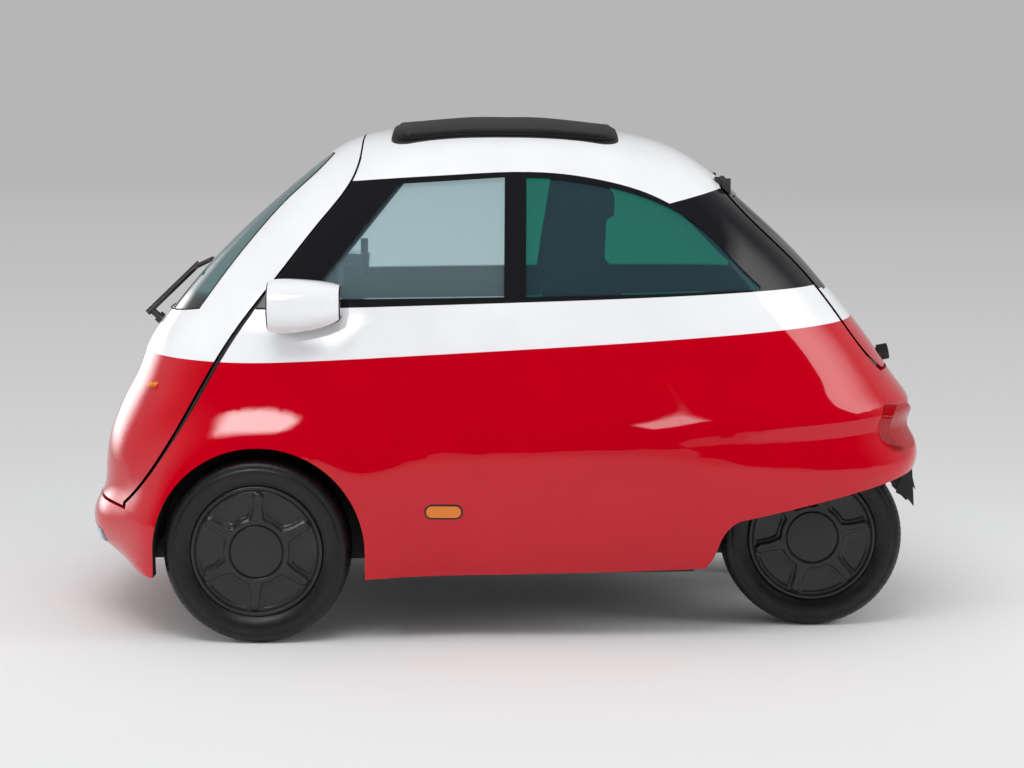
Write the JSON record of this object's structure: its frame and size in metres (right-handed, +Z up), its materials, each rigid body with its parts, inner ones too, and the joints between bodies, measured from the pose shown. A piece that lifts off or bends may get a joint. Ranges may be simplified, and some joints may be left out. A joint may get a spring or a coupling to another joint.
{
  "type": "front-entry bubble microcar",
  "caption": "Two-seat bubble microcar with a front door, narrow rear track, fabric sunroof and rear tailgate.",
  "frame": {"origin": "on the ground, at the centre of the car's outline", "axes": "+X to the front of the car, +Y to its left, +Z up"},
  "size_m": [2.4448, 1.4864, 1.449],
  "materials": {
    "amber_lens": "gloss",
    "battery": "satin",
    "black_gloss": "gloss",
    "black_plastic": "matt",
    "clear_glass": "clear",
    "mirror": "polished",
    "motor": "cast",
    "red_lens": "gloss",
    "red_paint": "gloss",
    "roof_fabric": "matt",
    "seat_fabric": "matt",
    "steel": "satin",
    "tinted_glass": "tinted",
    "tub_metal": "satin",
    "tyre": "matt",
    "wheel_cover": "satin",
    "white_paint": "gloss"
  },
  "bodies": {
    "body": {"battery_pack": "battery", "bumper_lamps": "clear_glass", "drive_motor": "motor", "floor_tub": "tub_metal", "front_bumper": "red_paint", "front_suspension": "steel", "headlamp_lenses": "clear_glass", "headlamp_pods": "white_paint", "headrests": "seat_fabric", "instrument_pod": "black_plastic", "mirror_glasses": "mirror", "pedals": "black_plastic", "plate_carrier": "black_plastic", "quarter_windows": "tinted_glass", "rear_axle": "steel", "roof_panel": "white_paint", "seat_back": "seat_fabric", "seat_base": "black_plastic", "seat_cushion": "seat_fabric", "side_markers": "amber_lens", "side_panel_left": "red_paint", "side_panel_right": "red_paint", "sliding_windows": "clear_glass", "steering_column": "steel", "steering_rack": "steel", "sunroof_cover": "roof_fabric", "sunroof_rail": "black_gloss", "tail_lamps": "red_lens", "tail_panel": "red_paint", "tailgate_hinges": "black_plastic", "wheel_arch_liners": "black_plastic", "window_frame_left": "black_gloss", "window_frame_right": "black_gloss", "window_grips": "black_plastic"},
    "front_door": {"door_shell": "red_paint", "windscreen": "clear_glass", "wiper": "black_plastic", "door_indicators": "amber_lens", "door_crossbar": "black_plastic"},
    "tailgate": {"tailgate_shell": "red_paint", "rear_window": "tinted_glass", "tailgate_handle": "black_plastic", "tailgate_hinge_arms": "black_plastic"},
    "steering_wheel": {"steering_wheel": "black_plastic"},
    "left_knuckle": {"knuckle_left": "steel"},
    "right_knuckle": {"knuckle_right": "steel"},
    "front_left_wheel": {"tyre_front_left": "tyre", "wheel_front_left": "wheel_cover"},
    "front_right_wheel": {"tyre_front_right": "tyre", "wheel_front_right": "wheel_cover"},
    "rear_left_wheel": {"tyre_rear_left": "tyre", "wheel_rear_left": "wheel_cover"},
    "rear_right_wheel": {"tyre_rear_right": "tyre", "wheel_rear_right": "wheel_cover"}
  },
  "joints": [
    {"name": "door_swing", "type": "hinge", "parent": "body", "child": "front_door", "pos_m": [0.8, 0.6, 0.6], "axis": [0, 0, 1], "range_deg": [0, 80]},
    {"name": "tailgate_lift", "type": "hinge", "parent": "body", "child": "tailgate", "pos_m": [-0.612, 0, 1.277], "axis": [0, 1, 0], "range_deg": [0, 75]},
    {"name": "steering_turn", "type": "hinge", "parent": "body", "child": "steering_wheel", "pos_m": [0.43, 0.24, 0.79], "axis": [-0.8192, 0, 0.5736], "range_deg": [-420, 420]},
    {"name": "steer_left", "type": "hinge", "parent": "body", "child": "left_knuckle", "pos_m": [0.695, 0.595, 0.2595], "axis": [0, 0, 1], "range_deg": [-30, 30]},
    {"name": "steer_right", "type": "hinge", "parent": "body", "child": "right_knuckle", "pos_m": [0.695, -0.595, 0.2595], "axis": [0, 0, 1], "range_deg": [-30, 30]},
    {"name": "front_left_spin", "type": "hinge", "parent": "left_knuckle", "child": "front_left_wheel", "pos_m": [0.695, 0.626, 0.2595], "axis": [0, 1, 0], "continuous": true},
    {"name": "front_right_spin", "type": "hinge", "parent": "right_knuckle", "child": "front_right_wheel", "pos_m": [0.695, -0.626, 0.2595], "axis": [0, 1, 0], "continuous": true},
    {"name": "rear_left_spin", "type": "hinge", "parent": "body", "child": "rear_left_wheel", "pos_m": [-0.871, 0.367, 0.2595], "axis": [0, 1, 0], "continuous": true},
    {"name": "rear_right_spin", "type": "hinge", "parent": "body", "child": "rear_right_wheel", "pos_m": [-0.871, -0.367, 0.2595], "axis": [0, 1, 0], "continuous": true}
  ],
  "couplings": [
    {"joint": "steer_left", "follows": "steering_turn", "ratio": 0.071429},
    {"joint": "steer_right", "follows": "steering_turn", "ratio": 0.071429}
  ]
}
